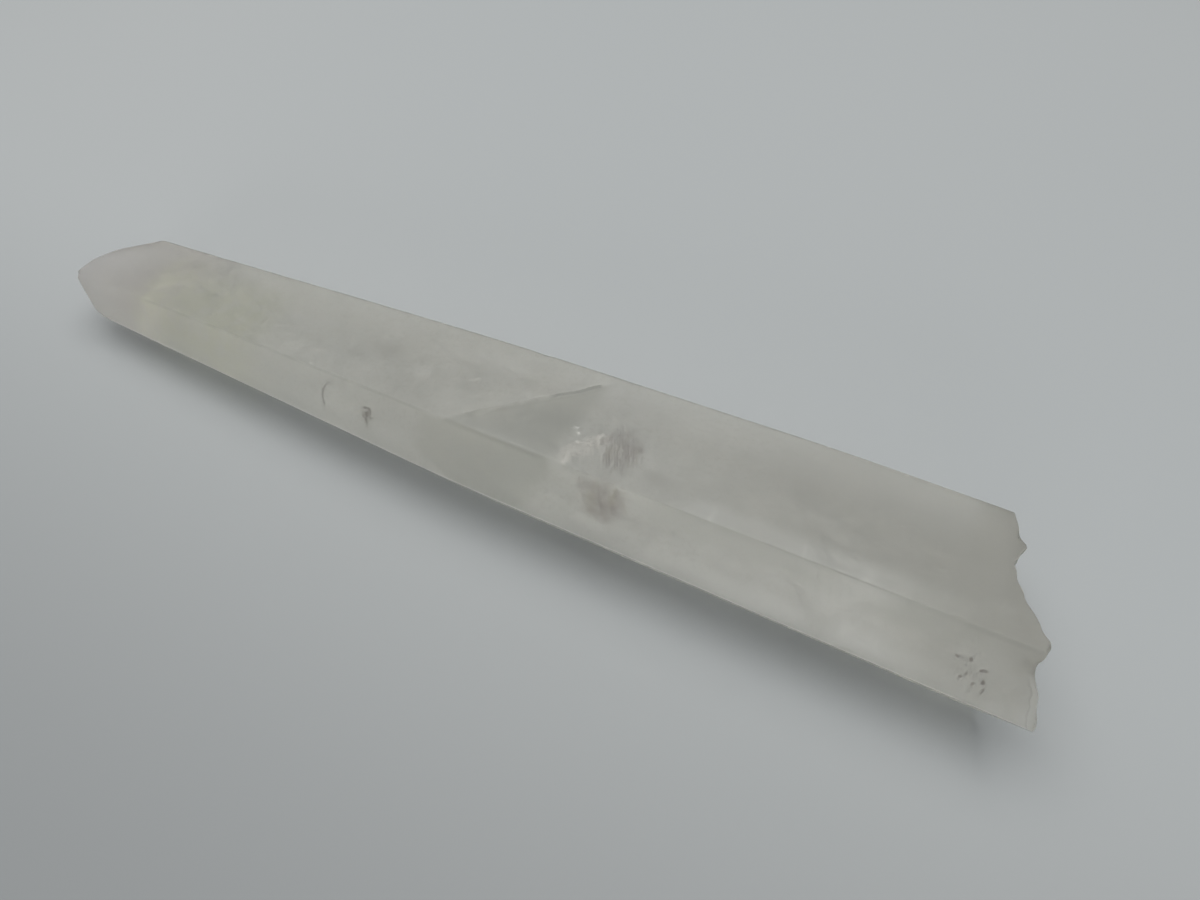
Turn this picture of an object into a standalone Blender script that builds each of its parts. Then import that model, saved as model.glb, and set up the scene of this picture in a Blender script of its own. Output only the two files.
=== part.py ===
"""A natural quartz crystal of the slender, tapering kind: one solid.

Millimetres are used for the design values and turned into metres once, in
to_metres(). The crystal lies along X on one of its prism faces (z = 0), with its
grown point towards -X and its broken foot towards +X.

Section, seen from the broken end (looking along -X):

            top
         R ------- U            U  top back edge      R  top front edge (ridge)
        /           \           B  widest back edge   L  widest front edge
      L               B         BB bottom back edge   BF bottom front edge
        \           /
         BF ----- BB

Neighbouring prism faces meet at 120 degrees, as on every quartz crystal, so the
section is fixed by the two top edges and the two heights of the widest edges.
"""

import math

import bmesh
import bpy
from mathutils import Vector

NAME = "quartz_crystal"

# ---- driving dimensions, mm ------------------------------------------------
MM = 0.001
CENTRE_X, CENTRE_Y = 1.38, 3.81  # middle of the finished crystal's box

# stations along X: beyond the point, the bend of the crystal, beyond the foot
X_POINT, X_BEND, X_FOOT = -92.0, 0.0, 96.0
TOP_AT_BEND = 15.1  # height of the top face at the bend
TOP_SLOPE_POINT, TOP_SLOPE_FOOT = 0.065, 0.029  # its rise towards the foot
RIDGE_AT_BEND = -3.9  # y of the top front edge
RIDGE_SLOPE_POINT, RIDGE_SLOPE_FOOT = -0.058, -0.0227
BACK_AT_BEND = 13.15  # y of the top back edge
BACK_SLOPE_POINT, BACK_SLOPE_FOOT = 0.004, 0.002
FRONT_EDGE_AT_BEND = 7.6  # height of the widest front edge
FRONT_EDGE_SLOPE_POINT, FRONT_EDGE_SLOPE_FOOT = 0.032, 0.0147
BACK_EDGE_SHARE = 0.44  # height of the widest back edge, as a share of the top's

PRISM = math.radians(60.0)  # turn between two neighbouring prism faces
POINT_FACE = math.radians(38.2)  # a pyramid face leans this far from the axis

# the fracture at the foot: mean plane, then what is scooped out of it
BREAK_X, BREAK_LEAN = 76.2, -0.40  # x at y = 0, and its change with y
GRID = 0.7  # spacing of the fracture's surface


def section(x):
    """The six corners of the section at x, as (y, z): U, R, L, BF, BB, B."""
    near_point = x < X_BEND
    pick = lambda a, b: a if near_point else b
    d = x - X_BEND
    top = TOP_AT_BEND + pick(TOP_SLOPE_POINT, TOP_SLOPE_FOOT) * d
    y_r = RIDGE_AT_BEND + pick(RIDGE_SLOPE_POINT, RIDGE_SLOPE_FOOT) * d
    y_u = BACK_AT_BEND + pick(BACK_SLOPE_POINT, BACK_SLOPE_FOOT) * d
    z_l = FRONT_EDGE_AT_BEND + pick(FRONT_EDGE_SLOPE_POINT, FRONT_EDGE_SLOPE_FOOT) * d
    z_b = BACK_EDGE_SHARE * top
    t = math.tan(PRISM)
    y_l = y_r - (top - z_l) / t
    y_b = y_u + (top - z_b) / t
    return [
        (y_u, top),
        (y_r, top),
        (y_l, z_l),
        (y_l + z_l / t, 0.0),
        (y_b - z_b / t, 0.0),
        (y_b, z_b),
    ]


def prism_mesh(bm):
    """The six-sided prism, in two lengths that meet at the bend."""
    rings = [
        [bm.verts.new((x, y, z)) for y, z in section(x)]
        for x in (X_POINT, X_BEND, X_FOOT)
    ]
    for a, b in zip(rings, rings[1:]):
        for i in range(6):
            j = (i + 1) % 6
            bm.faces.new((a[i], a[j], b[j], b[i]))
    bm.faces.new(rings[0][::-1])
    bm.faces.new(rings[-1])
    bmesh.ops.recalc_face_normals(bm, faces=bm.faces[:])


def cut(bm, point, normal):
    """Keeps what lies behind the plane and closes the cut with one face."""
    geometry = bm.verts[:] + bm.edges[:] + bm.faces[:]
    found = bmesh.ops.bisect_plane(
        bm,
        geom=geometry,
        dist=1e-5,
        plane_co=Vector(point),
        plane_no=Vector(normal),
        clear_outer=True,
    )
    rim = [e for e in found["geom_cut"] if isinstance(e, bmesh.types.BMEdge)]
    if rim:
        bmesh.ops.contextual_create(bm, geom=rim)


def pyramid_normal(turn):
    """Outward normal of a pyramid face above the prism face at this turn from the top."""
    a = math.radians(turn)
    return (
        -math.sin(POINT_FACE),
        math.sin(a) * math.cos(POINT_FACE),
        math.cos(a) * math.cos(POINT_FACE),
    )


def point_faces():
    """(point, normal) of every face of the grown end, the chipped ones last."""
    return [
        ((-76.5, 2.0, 10.12), pyramid_normal(0)),
        ((-69.0, 12.85, 10.6), pyramid_normal(60)),
        ((-68.0, 16.0, 4.6), pyramid_normal(120)),
        ((-66.0, 0.0, 0.0), pyramid_normal(180)),
        ((-72.0, -2.9, 7.0), pyramid_normal(240)),
        ((-75.9, -0.1, 10.1), pyramid_normal(300)),
        ((-76.4, 4.6, 10.1), (-0.72, 0.34, 0.6)),
        ((-68.3, -2.85, 5.7), (-0.138, -0.95, -0.28)),
    ]


def side_faces():
    """(point, normal) of the narrow growth faces that pinch the sides near the foot."""
    s, c = math.sin(PRISM), math.cos(PRISM)
    back = Vector((0.015, s, c)).normalized()
    back_low = Vector((0.05, s, -c)).normalized()
    front_low = Vector((-0.05, -s, -c)).normalized()
    return [
        ((48.0, 13.25, 16.5), tuple(back)),
        ((69.9, 12.55, 17.13), (0.28, 0.85, 0.45)),
        ((34.0, 17.9, 6.9), tuple(back_low)),
        ((-30.0, -6.55, 6.6), tuple(front_low)),
    ]


def step(a, b, t):
    """Smooth 0 to 1 as t goes from a to b."""
    t = min(max((t - a) / (b - a), 0.0), 1.0)
    return t * t * (3 - 2 * t)


def scoop(y, z, at_y, at_z, half_y, half_z, depth):
    """Depth of a rounded hollow whose rim is a clean edge."""
    r = ((y - at_y) / half_y) ** 2 + ((z - at_z) / half_z) ** 2
    return depth * (1 - r) if r < 1 else 0.0


def break_x(y, z):
    """How far the crystal reaches in X at (y, z) of its section."""
    x = BREAK_X + BREAK_LEAN * y
    x -= 0.28 * max(0.0, 9.0 - z)  # cut back underneath
    x -= scoop(y, z, 2.9, 16.0, 5.4, 7.5, 1.6)
    x -= scoop(y, z, 9.5, 6.0, 8.0, 6.0, 1.5)
    x -= scoop(y, z, -1.5, 3.5, 6.0, 5.0, 1.2)
    x -= scoop(y, z, -6.7, 15.2, 2.2, 2.0, 0.9)
    # a thin flake stands along the widest front edge: behind it the break drops back
    inside = 0.866 * (y + 5.65) - 0.5 * (z - 17.3)
    along = step(5.5, 7.5, z) * (1 - step(13.6, 15.0, z))
    x -= 2.0 * along * step(0.8, 2.0, inside) * (1 - step(5.0, 9.0, inside))
    x += 0.35 * step(-0.2, 1.2, y - 7.2) * (1 - step(0.6, 1.8, y - 7.2)) * step(12, 16, z)
    return x


def break_mesh(bm):
    """A closed block beyond the fracture, whose near face is the fracture."""
    y0, y1, z0, z1, far = -16.0, 24.0, -3.0, 22.0, 110.0
    ny, nz = round((y1 - y0) / GRID), round((z1 - z0) / GRID)
    ys = [y0 + (y1 - y0) * i / ny for i in range(ny + 1)]
    zs = [z0 + (z1 - z0) * k / nz for k in range(nz + 1)]
    near = [[bm.verts.new((break_x(y, z), y, z)) for z in zs] for y in ys]
    back = [[bm.verts.new((far, y, z)) for z in (z0, z1)] for y in (y0, y1)]
    for i in range(ny):
        for k in range(nz):
            quad = (near[i][k], near[i][k + 1], near[i + 1][k + 1], near[i + 1][k])
            # the shorter diagonal in X keeps the scoops' rims crisp
            if abs(quad[0].co.x - quad[2].co.x) < abs(quad[1].co.x - quad[3].co.x):
                bm.faces.new((quad[0], quad[1], quad[2]))
                bm.faces.new((quad[0], quad[2], quad[3]))
            else:
                bm.faces.new((quad[0], quad[1], quad[3]))
                bm.faces.new((quad[1], quad[2], quad[3]))
    (a, b), (c, d) = back
    bm.faces.new((a, c, d, b))
    bm.faces.new([near[0][k] for k in range(nz + 1)] + [b, a])
    bm.faces.new([near[ny][k] for k in range(nz + 1)] + [d, c])
    bm.faces.new([near[i][0] for i in range(ny + 1)] + [c, a])
    bm.faces.new([near[i][nz] for i in range(ny + 1)] + [d, b])
    bmesh.ops.recalc_face_normals(bm, faces=bm.faces[:])


# the growth step: a low ledge across the top face, parallel to a pyramid face's trace
STEP_FROM, STEP_TO = (-2.4, -4.4), (15.6, 10.9)
STEP_DEPTH, STEP_RUN = 0.34, 21.0  # the floor rises back to the face over the run


def ledge_mesh(bm):
    """A thin wedge that lowers the top face beside the growth step."""
    p, q = Vector((*STEP_FROM, 0)), Vector((*STEP_TO, 0))
    along = (q - p).normalized()
    away = Vector((along.y, -along.x, 0))

    def top(x):
        return TOP_AT_BEND + (TOP_SLOPE_POINT if x < X_BEND else TOP_SLOPE_FOOT) * x

    def corner(start, out, lift):
        at = start + away * out
        return bm.verts.new((at.x, at.y, top(at.x) + lift))

    low = [
        corner(p - along * 1.5, 0.0, 0.0),
        corner(q, 0.0, -STEP_DEPTH),
        corner(q + along * 1.0, STEP_RUN * 0.75, 0.05),
        corner(p + along * 9.0, STEP_RUN * 0.75, 0.05),
    ]
    high = [bm.verts.new((v.co.x, v.co.y, v.co.z + 3.0)) for v in low]
    bm.faces.new(low)
    bm.faces.new(high[::-1])
    for i in range(4):
        j = (i + 1) % 4
        bm.faces.new((low[i], low[j], high[j], high[i]))
    bmesh.ops.triangulate(bm, faces=[f for f in bm.faces if len(f.verts) == 4])
    bmesh.ops.recalc_face_normals(bm, faces=bm.faces[:])


def to_metres(bm):
    for v in bm.verts:
        v.co = Vector((v.co.x - CENTRE_X, v.co.y - CENTRE_Y, v.co.z)) * MM


def new_object(name, bm):
    to_metres(bm)
    mesh = bpy.data.meshes.new(name)
    bm.to_mesh(mesh)
    bm.free()
    obj = bpy.data.objects.new(name, mesh)
    bpy.context.scene.collection.objects.link(obj)
    return obj


def cutter(name, make, body):
    bm = bmesh.new()
    make(bm)
    obj = new_object(name, bm)
    obj.hide_render = True
    obj.display_type = "WIRE"
    difference = body.modifiers.new(name, "BOOLEAN")
    difference.operation = "DIFFERENCE"
    difference.solver = "EXACT"
    difference.object = obj
    return obj


def quartz_material():
    material = bpy.data.materials.new("quartz")
    material.use_nodes = True
    shader = material.node_tree.nodes["Principled BSDF"]
    shader.inputs["Base Color"].default_value = (0.80, 0.79, 0.74, 1.0)
    shader.inputs["Roughness"].default_value = 0.45
    shader.inputs["Metallic"].default_value = 0.0
    shader.inputs["IOR"].default_value = 1.544
    shader.inputs["Transmission Weight"].default_value = 0.8
    return material


def main():
    for old in list(bpy.data.objects):
        bpy.data.objects.remove(old, do_unlink=True)
    bm = bmesh.new()
    prism_mesh(bm)
    for point, normal in side_faces() + point_faces():
        cut(bm, point, normal)
    crystal = new_object(NAME, bm)
    crystal.data.materials.append(quartz_material())
    cutter("fracture_cutter", break_mesh, crystal)
    cutter("growth_step_cutter", ledge_mesh, crystal)


main()
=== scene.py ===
import math

import bpy
import numpy as np
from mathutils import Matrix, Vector


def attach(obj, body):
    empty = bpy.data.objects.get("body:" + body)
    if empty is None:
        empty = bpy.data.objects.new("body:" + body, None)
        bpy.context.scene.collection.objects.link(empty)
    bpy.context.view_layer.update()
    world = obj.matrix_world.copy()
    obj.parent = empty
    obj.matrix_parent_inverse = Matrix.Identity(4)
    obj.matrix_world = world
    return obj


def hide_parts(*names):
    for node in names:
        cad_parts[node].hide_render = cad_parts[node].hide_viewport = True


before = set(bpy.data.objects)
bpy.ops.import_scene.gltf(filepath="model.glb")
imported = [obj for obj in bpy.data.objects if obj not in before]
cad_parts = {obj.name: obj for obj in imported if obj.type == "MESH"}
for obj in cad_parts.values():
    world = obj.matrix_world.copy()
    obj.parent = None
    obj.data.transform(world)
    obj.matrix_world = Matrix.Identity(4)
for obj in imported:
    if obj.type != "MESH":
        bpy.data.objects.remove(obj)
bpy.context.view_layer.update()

# ============================================================================
# The crystal's design, in millimetres. x runs from the grown point (-) to the
# broken foot (+), y towards the back edge, z up from the surface it lies on.
# ============================================================================
MM = 0.001
CENTRE = np.array([1.38, 3.81, 0.0])
T60 = math.tan(math.radians(60.0))
UP, RIDGE, WIDE_FRONT, LOW_FRONT, LOW_BACK, WIDE_BACK = range(6)  # corners of the section
TOP, FRONT, FRONT_LOW, UNDER, BACK_LOW, BACK = range(6)  # the side that follows each corner


def section(x):
    """The six corners of the section at x: arrays (6, ...) of y and of z."""
    x = np.asarray(x, float)
    bend = lambda a, b: np.where(x < 0, a, b) * x
    top = 15.1 + bend(0.065, 0.029)
    y_r = -3.9 + bend(-0.058, -0.0227)
    y_u = 13.15 + bend(0.004, 0.002)
    z_l = 7.6 + bend(0.032, 0.0147)
    z_b = 0.44 * top
    y_l = y_r - (top - z_l) / T60
    y_b = y_u + (top - z_b) / T60
    zero = np.zeros_like(top)
    y = np.stack([y_u, y_r, y_l, y_l + z_l / T60, y_b - z_b / T60, y_b])
    z = np.stack([top, top, z_l, zero, zero, z_b])
    return y, z


def side_planes(x0, x1):
    """(normals, offsets) of the six prism faces between two stations."""
    (ya, za), (yb, zb) = section(x0), section(x1)
    normals, offsets = [], []
    for i in range(6):
        j = (i + 1) % 6
        a = np.array([x0, ya[i], za[i]])
        b = np.array([x0, ya[j], za[j]])
        c = np.array([x1, yb[i], zb[i]])
        n = np.cross(b - a, c - a)
        n /= np.linalg.norm(n)
        if n @ (np.array([x0, ya.mean(), za.mean()]) - a) > 0:
            n = -n
        normals.append(n)
        offsets.append(n @ a)
    return np.array(normals), np.array(offsets)


def pyramid(turn):
    a, lean = math.radians(turn), math.radians(38.2)
    return (-math.sin(lean), math.sin(a) * math.cos(lean), math.cos(a) * math.cos(lean))


S60, C60 = math.sin(math.radians(60)), math.cos(math.radians(60))
CUTS = [  # (point, normal): faces of the point, then the narrow faces along the sides
    ((-76.5, 2.0, 10.12), pyramid(0)),
    ((-69.0, 12.85, 10.6), pyramid(60)),
    ((-68.0, 16.0, 4.6), pyramid(120)),
    ((-66.0, 0.0, 0.0), pyramid(180)),
    ((-72.0, -2.9, 7.0), pyramid(240)),
    ((-75.9, -0.1, 10.1), pyramid(300)),
    ((-76.4, 4.6, 10.1), (-0.72, 0.34, 0.6)),
    ((-68.3, -2.85, 5.7), (-0.138, -0.95, -0.28)),
    ((48.0, 13.25, 16.5), (0.015, S60, C60)),
    ((70.8, 12.7, 17.2), (0.28, 0.85, 0.45)),
    ((34.0, 17.9, 6.9), (0.05, S60, -C60)),
    ((-30.0, -6.55, 6.6), (-0.05, -S60, -C60)),
]


# ---- small maths -----------------------------------------------------------
def ramp(a, b, t):
    t = np.clip((np.asarray(t, float) - a) / (b - a), 0.0, 1.0)
    return t * t * (3 - 2 * t)


def joined_max(k, *values):
    """The largest of the values, with a rounded change-over of width k."""
    values = np.stack(np.broadcast_arrays(*values))
    most = values.max(0)
    return most + k * np.log(np.exp((values - most) / k).sum(0))


def lattice(i, j, k, seed):
    h = (i * 73856093) ^ (j * 19349663) ^ (k * 83492791) ^ (seed * 40503 + 977)
    h &= 0xFFFFFFFF
    h ^= h >> 13
    h = (h * 1274126177) & 0xFFFFFFFF
    h ^= h >> 16
    h = (h * 668265263) & 0xFFFFFFFF
    h ^= h >> 15
    return h / float(0xFFFFFFFF) * 2 - 1


def noise(p, size, seed):
    """Smooth noise from -1 to 1, with features of about this size."""
    q = np.asarray(p, float) / np.asarray(size, float)
    c = np.floor(q).astype(np.int64)
    f = q - c
    f = f * f * f * (f * (f * 6 - 15) + 10)
    out = 0.0
    for dx in (0, 1):
        for dy in (0, 1):
            for dz in (0, 1):
                w = (
                    (f[..., 0] if dx else 1 - f[..., 0])
                    * (f[..., 1] if dy else 1 - f[..., 1])
                    * (f[..., 2] if dz else 1 - f[..., 2])
                )
                out = out + w * lattice(c[..., 0] + dx, c[..., 1] + dy, c[..., 2] + dz, seed)
    return out


def cloudy(p, size, seed, octaves=3):
    out, gain, total = 0.0, 1.0, 0.0
    for o in range(octaves):
        out = out + gain * noise(p, np.asarray(size, float) / 2.03**o, seed + 31 * o)
        total += gain
        gain *= 0.5
    return out / total


# ---- the broken foot ---------------------------------------------------------
def hollow(y, z, at_y, at_z, half_y, half_z, depth):
    r = ((y - at_y) / half_y) ** 2 + ((z - at_z) / half_z) ** 2
    return depth * np.clip(1 - r, 0, None)


def break_x(y, z):
    """How far the crystal reaches in x at (y, z) of its section."""
    x = 76.2 - 0.40 * y - 0.28 * np.clip(9.0 - z, 0, None)
    x = x - hollow(y, z, 2.9, 16.0, 5.4, 7.5, 1.45)
    x = x - hollow(y, z, 9.5, 6.0, 8.0, 6.0, 1.5)
    x = x - hollow(y, z, -1.5, 3.5, 6.0, 5.0, 1.2)
    x = x - hollow(y, z, -7.3, 14.6, 2.1, 2.0, 0.9)
    x = x + 0.4 * ramp(-8.5, -9.6, y) * ramp(11.2, 9.6, z)
    x = x + 0.45 * ramp(4.5, 7.5, y) * ramp(10.0, 14.0, z)
    x = x + 0.6 * (1 - ramp(0.0, 1.5, np.abs(y + 4.4))) * ramp(15.8, 17.2, z)
    x = x - 0.08 * ramp(-4.9, -6.0, y) * ramp(13.5, 15.5, z)
    inside = 0.866 * (y + 5.65) - 0.5 * (z - 17.3)
    along = ramp(5.5, 7.5, z) * (1 - ramp(13.6, 15.0, z))
    x = x - 0.55 * along * ramp(0.5, 2.2, inside) * (1 - ramp(4.0, 9.0, inside))
    x = x + 0.5 * ramp(-2.4, 0.4, y - 7.6) * (1 - ramp(0.3, 2.0, y - 7.6)) * ramp(12, 16, z)
    # conchoidal ripples: arcs that widen away from where the blow fell
    p = np.stack([np.zeros_like(y), y, z], -1)
    bent = 0.9 * cloudy(p, 6.0, 71)
    r = np.hypot(y - 11.0, (z - 18.5) * 0.9) + bent
    fade = ramp(1.5, 5.0, r)
    x = x + fade * 0.11 * np.sin(2 * math.pi * 2.6 * np.sqrt(np.clip(r, 0, None)))
    x = x + 0.16 * cloudy(p, 3.2, 83, 4) + 0.05 * cloudy(p, 0.9, 97, 2)
    return x


# ---- the whole surface -------------------------------------------------------
NEAR, FOOT = side_planes(-90.0, 0.0), side_planes(0.0, 90.0)
CUT_N = np.array([n for _, n in CUTS], float)
CUT_N /= np.linalg.norm(CUT_N, axis=1)[:, None]
CUT_D = np.array([CUT_N[i] @ np.array(c[0]) for i, c in enumerate(CUTS)])

STEP_FROM, STEP_TO = np.array([-2.4, -4.4]), np.array([15.6, 10.9])
STEP_LENGTH = np.linalg.norm(STEP_TO - STEP_FROM)
STEP_ALONG = (STEP_TO - STEP_FROM) / STEP_LENGTH
STEP_AWAY = np.array([STEP_ALONG[1], -STEP_ALONG[0]])


def step_place(p):
    """(share along the growth step, distance past it towards the foot)."""
    q = p[..., :2] - STEP_FROM
    return (q @ STEP_ALONG) / STEP_LENGTH, q @ STEP_AWAY


def ledge_depth(p):
    """How much lower the top face lies past the growth step."""
    u, v = step_place(p)
    v = v + 0.25 * noise(p, 2.2, 5)
    depth = 0.13 * np.clip(u, 0, 1) ** 0.7
    depth = depth * (1 - ramp(0.95, 1.06, u)) * ramp(0.0, 0.5, v)
    return depth * (1 - ramp(1.5, 15.0, v))


# scoops: (centre, three half-axes as (length, direction)); the surface is hollowed to them
def frame_of(normal, along):
    n = np.array(normal, float)
    n /= np.linalg.norm(n)
    a = np.array(along, float)
    a -= n * (a @ n)
    a /= np.linalg.norm(a)
    return np.array([a, np.cross(n, a), n])


SCOOPS = []


def scoop_at(point, normal, along, length, width, depth, high=2.2):
    """A shallow hollow, length by width, whose floor is `depth` below the point."""
    axes = frame_of(normal, along)
    # an ellipsoid whose cap of that depth has that length and width
    cap = math.sqrt(1 - (1 - depth / high) ** 2)
    radii = np.array([length / 2 / cap, width / 2 / cap, high])
    centre = np.array(point, float) + axes[2] * (high - depth)
    SCOOPS.append((centre, axes, radii))


def scoops_field(p):
    """Positive inside any scoop, in about millimetres."""
    out = np.full(p.shape[:-1], -9.0)
    for centre, axes, radii in SCOOPS:
        reach = radii.max() + 1.0
        near = np.abs(p - centre).max(-1) < reach
        if not near.any():
            continue
        q = ((p[near] - centre) @ axes.T) / radii
        length = np.linalg.norm(q, axis=-1)
        out[near] = np.maximum(out[near], (1 - length) * radii.min())
    return out


def wave(p, side):
    """How far a prism face lies below its ideal plane: growth is never quite flat."""
    if side == UNDER:
        return np.zeros(p.shape[:-1])
    slow = cloudy(p, (26.0, 9.0, 9.0), 200 + side, 2)
    fine = noise(p, (3.2, 5.0, 5.0), 300 + side)
    return 0.045 * (1 + slow) + 0.007 * (1 + fine)


def surface_waves(p):
    return [wave(p, i) for i in range(6)]


def field(p, waves):
    """Negative inside the crystal, positive outside, about a distance in mm."""
    x = p[..., 0]
    sides = []
    for i in range(6):
        a = p @ NEAR[0][i] - NEAR[1][i]
        if i == UNDER:
            sides.append(-p[..., 2])
            continue
        b = p @ FOOT[0][i] - FOOT[1][i]
        sides.append(joined_max(0.12, a, b) + waves[i])
    sides[TOP] = sides[TOP] + ledge_depth(p)
    worn = 0.07 + 0.25 * ramp(-5.0, 1.0, x) * (1 - ramp(12.0, 22.0, x)) + 0.4 * (1 - ramp(-68.0, -55.0, x))
    ridge = joined_max(worn, sides[TOP], sides[FRONT])
    cuts = p @ CUT_N.T - CUT_D
    whole = joined_max(
        0.075, ridge, *[sides[i] for i in (FRONT_LOW, UNDER, BACK_LOW, BACK)], *np.moveaxis(cuts, -1, 0)
    )
    foot = x > 68.0
    if foot.any():
        q = p[foot]
        end = (q[..., 0] - break_x(q[..., 1], q[..., 2])) * 0.86
        whole[foot] = joined_max(0.05, whole[foot], end)
    return joined_max(0.035, whole, scoops_field(p))


def solve(start, toward, reach, waves):
    """The point of the surface along each line start + t * toward, 0 <= t <= reach."""
    low = np.zeros(start.shape[:-1])
    high = np.broadcast_to(reach, low.shape).astype(float).copy()
    for _ in range(19):
        mid = 0.5 * (low + high)
        outside = field(start + mid[..., None] * toward, waves) > 0
        high = np.where(outside, mid, high)
        low = np.where(outside, low, mid)
    return start + (0.5 * (low + high))[..., None] * toward


# ---- worn places: nicks on the edges and chips at both ends --------------------
def edge_point(corner, x):
    y, z = section(x)
    return np.array([x, y[corner], z[corner]])


def edge_out(corner):
    """Outward direction of a long edge, halfway between its two faces."""
    a, b = NEAR[0][corner - 1], NEAR[0][corner]
    n = a + b
    return n / np.linalg.norm(n)


def wear():
    pick = np.random.default_rng(11)
    for corner in range(6):
        count = {UP: 4, RIDGE: 7, WIDE_FRONT: 7}.get(corner, 16)
        for x in pick.uniform(-60, 72, count):
            if corner == RIDGE and -8 < x < 24:
                continue
            size = pick.uniform(0.5, 1.0) ** 2
            scoop_at(
                edge_point(corner, x) - edge_out(corner) * 0.02,
                edge_out(corner) + pick.normal(0, 0.12, 3),
                (1, 0, 0),
                0.8 + 1.8 * size,
                0.5 + 0.5 * size,
                0.08 + 0.10 * size,
                high=1.2 + 1.5 * size,
            )
    # the hollow under the ridge at the foot, and small chips round the break's rim
    scoop_at((77.3, -6.6, 15.65), (0.25, -0.83, 0.45), (0.5, 0.3, -0.75), 3.2, 2.0, 0.28, high=2.6)
    scoop_at((80.2, -9.8, 10.5), (0.62, -0.68, 0.38), (0.25, -0.5, -0.86), 4.6, 1.4, 0.24, high=3.0)
    scoop_at((75.0, 1.6, 17.2), (0.7, 0, 0.7), (0, 1, 0), 2.6, 1.0, 0.2)
    scoop_at((72.6, 9.3, 17.1), (0.7, 0, 0.7), (0, 1, 0), 1.5, 0.9, 0.16)
    scoop_at((78.6, -4.9, 17.3), (0.8, -0.1, 0.6), (0, 1, 0), 1.9, 1.2, 0.22)
    # the very point is blunt
    scoop_at((-76.6, 0.5, 9.6), (-0.9, -0.1, 0.3), (0, 0.5, 0.8), 1.6, 1.0, 0.16)
    scoop_at((-74.9, 7.0, 10.3), (-0.5, 0.3, 0.8), (0.4, 0.9, 0), 2.2, 0.9, 0.14)


wear()


# ---- the mesh ------------------------------------------------------------------
def spread(length, gap):
    """Places along a side, close together beside its edges: shares from 0 up to 1."""
    close = np.array([0.0, 0.06, 0.14, 0.26, 0.44, 0.72])
    middle = length - 2 * close[-1]
    n = max(2, round(middle / gap))
    run = np.linspace(close[-1], length - close[-1], n + 1)[1:]
    return np.concatenate([close, run[:-1], length - close[::-1]])[:-1] / length


def columns():
    """(side, share) of each line of the mesh along the crystal."""
    lengths = {TOP: (18.0, 0.58), FRONT: (9.6, 0.58), FRONT_LOW: (9.6, 0.8), UNDER: (17.6, 1.3), BACK_LOW: (8.6, 0.9), BACK: (10.6, 0.75)}
    side, share = [], []
    for i in range(6):
        s = spread(*lengths[i])
        side += [i] * len(s)
        share += list(s)
    return np.array(side), np.array(share)


def stations(a, b, gap):
    return np.linspace(a, b, max(2, round(abs(b - a) / gap)) + 1)


def along_side(side, share, x):
    """The prism's point on each mesh line at x, and the middle of the section; x is (rows, lines)."""
    y, z = section(x)
    line = np.arange(len(side))
    rows = np.arange(x.shape[0])[:, None]
    j = (side + 1) % 6
    ty = (1 - share) * y[side[None, :], rows, line] + share * y[j[None, :], rows, line]
    tz = (1 - share) * z[side[None, :], rows, line] + share * z[j[None, :], rows, line]
    middle = np.stack([x, 0.5 * (y[UP] + y[RIDGE]) + 0 * x, 0.5 * z[UP] + 0 * x], -1)
    point = np.stack([x, ty, tz], -1)
    # the narrow side faces trim some of it
    share_kept = np.ones(x.shape)
    for n, d in zip(CUT_N[8:], CUT_D[8:]):
        rise = (point - middle) @ n
        room = d - middle @ n
        share_kept = np.where(rise > room, np.minimum(share_kept, room / np.where(rise > room, rise, 1.0)), share_kept)
    return middle + share_kept[..., None] * (point - middle), middle


def rims(side, share):
    """Where each mesh line leaves the prism: x at the point and x at the break."""
    x = np.full(len(side), 77.0)
    for _ in range(30):
        t, _m = along_side(side, share, x[None, :])
        x = 0.5 * x + 0.5 * break_x(t[0, :, 1], t[0, :, 2])
    ends = x
    grid = np.linspace(-80.0, -55.0, 2501)
    p, _m = along_side(side, share, np.repeat(grid[:, None], len(side), 1))
    inside = (p @ CUT_N[:7].T - CUT_D[:7]).max(-1) < 0
    return grid[np.argmax(inside, 0)], ends


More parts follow.
